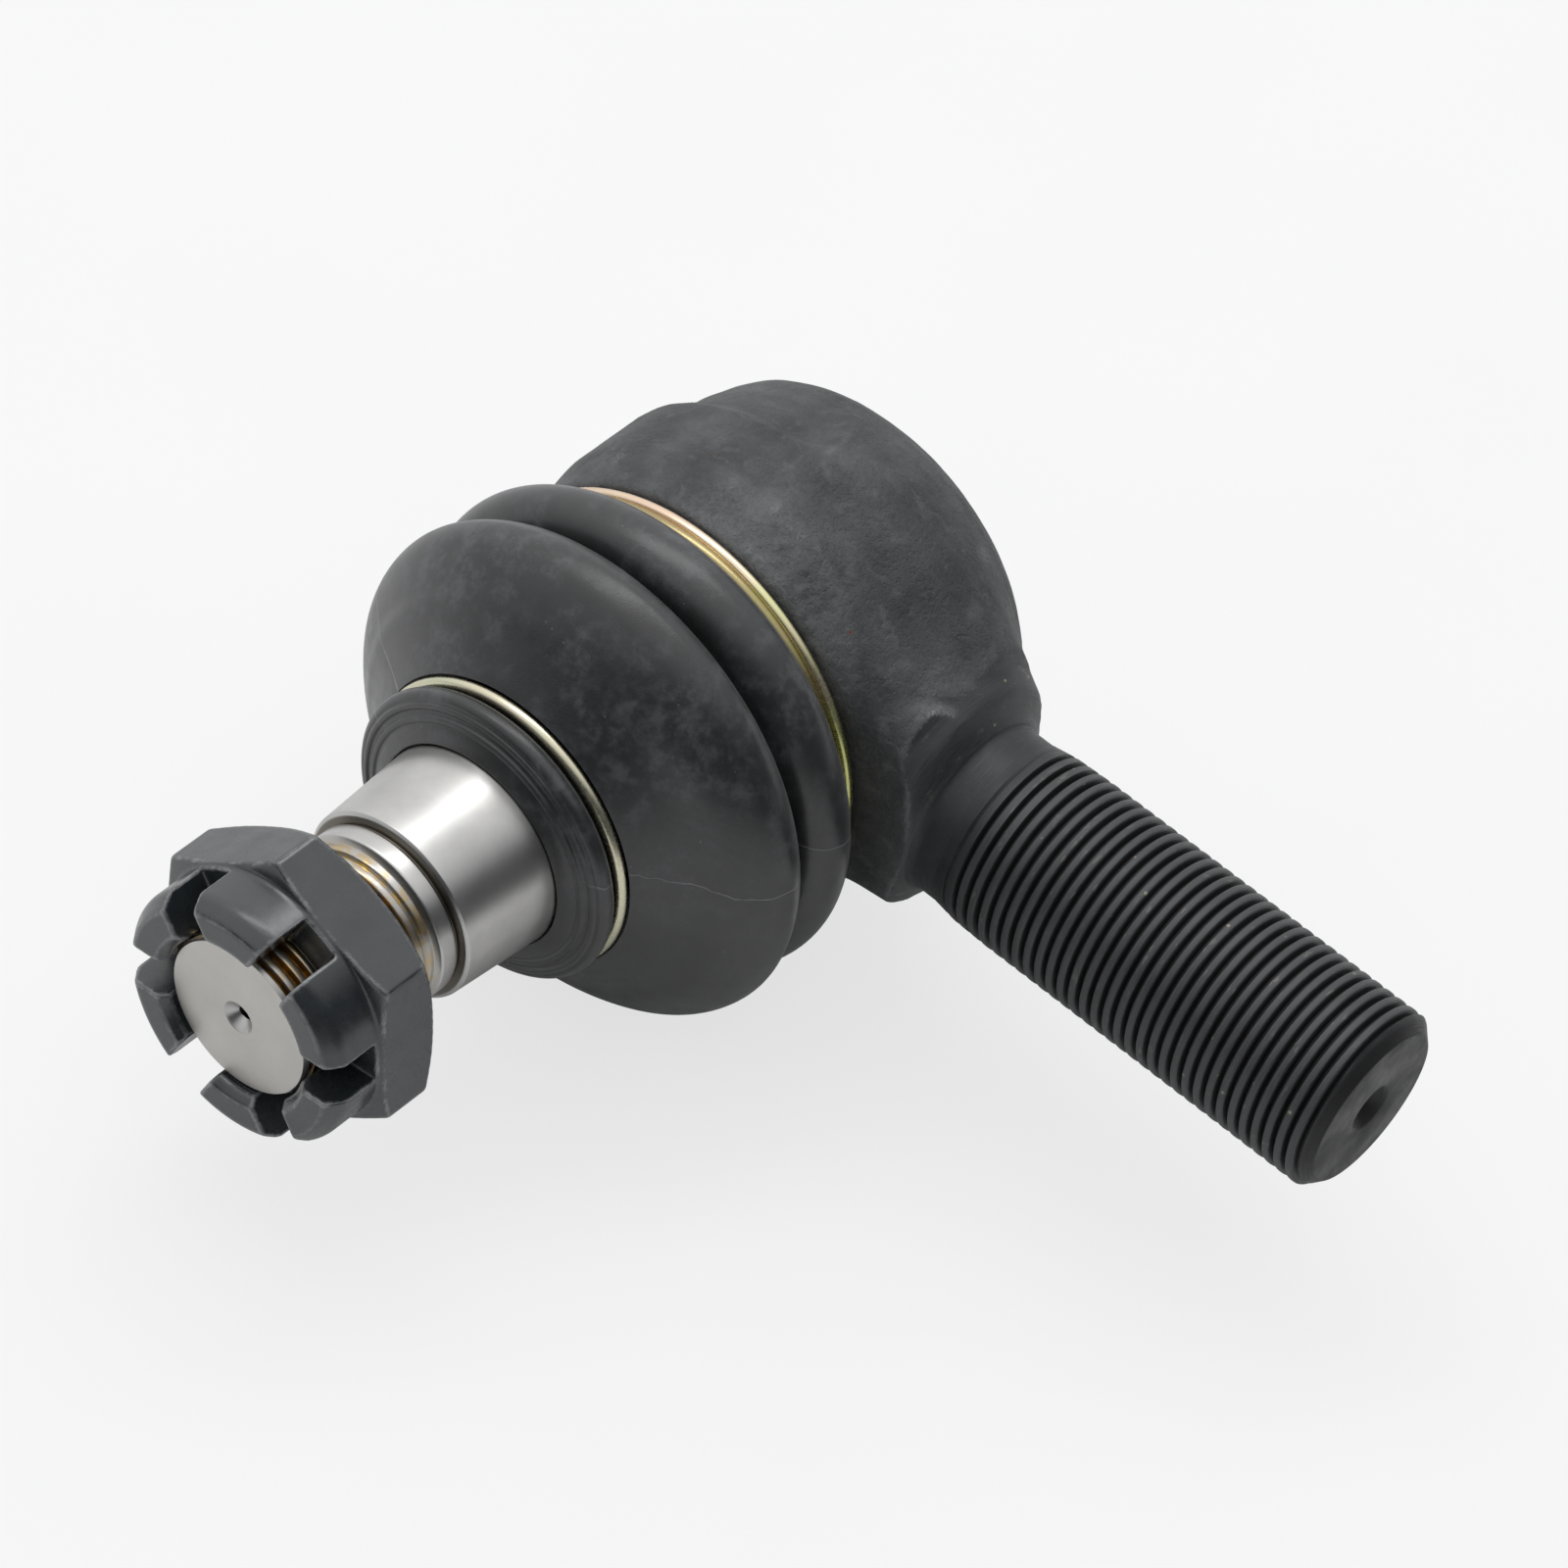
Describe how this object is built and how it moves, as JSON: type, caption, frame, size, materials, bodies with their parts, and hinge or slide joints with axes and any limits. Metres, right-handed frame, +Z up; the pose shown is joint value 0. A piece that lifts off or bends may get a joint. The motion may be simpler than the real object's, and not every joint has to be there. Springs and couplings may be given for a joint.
{
  "type": "tie rod end",
  "caption": "Forged tie rod end: eye with a long threaded shank, ball stud with cone and castle nut, and a rubber boot held by wire rings.",
  "frame": {"origin": "centre of the cover's outer face, on the axis of the eye; the ball's centre is 21.6 mm in front of it, at y = -0.0216", "axes": "+X along the threaded shank, from the ball to its free end; -Y along the stud, towards the castle nut; +Z up"},
  "size_m": [0.1496, 0.1267, 0.0764],
  "materials": {
    "forged_steel": "black phosphated forging",
    "bearing_polymer": "moulded acetal",
    "spring_steel": "oiled black spring steel",
    "zinc_plate": "pressed and zinc plated",
    "black_rubber": "moulded, with a light bloom",
    "yellow_zinc_wire": "yellow passivated",
    "ground_steel": "ground bright",
    "phosphated_steel": "black phosphated"
  },
  "bodies": {
    "housing": {"housing": "forged_steel", "front_bearing": "bearing_polymer", "cover_seal": "black_rubber", "cover_plate": "zinc_plate", "snap_ring": "spring_steel", "boot_bead": "black_rubber", "boot_clamp_ring": "yellow_zinc_wire", "boot_dome": "black_rubber"},
    "seat": {"rear_seat": "bearing_polymer", "disc_spring": "spring_steel"},
    "boot_neck": {"boot_collar": "black_rubber", "boot_neck_ring": "yellow_zinc_wire"},
    "stud": {"ball_stud": "ground_steel"},
    "nut": {"castle_nut": "phosphated_steel"}
  },
  "joints": [
    {"name": "seat_turn", "type": "hinge", "parent": "housing", "child": "seat", "pos_m": [0, -0.0216, 0], "axis": [0, 1, 0], "continuous": true},
    {"name": "stud_tilt", "type": "hinge", "parent": "seat", "child": "boot_neck", "pos_m": [0, -0.0216, 0], "axis": [0, 0, 1], "range_deg": [-20, 20], "deforming": ["boot_dome"]},
    {"name": "stud_turn", "type": "hinge", "parent": "boot_neck", "child": "stud", "pos_m": [0, -0.0216, 0], "axis": [0, 1, 0], "continuous": true},
    {"name": "nut_turn", "type": "hinge", "parent": "stud", "child": "nut", "pos_m": [0, -0.1158, 0], "axis": [0, 1, 0], "range_deg": [-30, 30]}
  ]
}
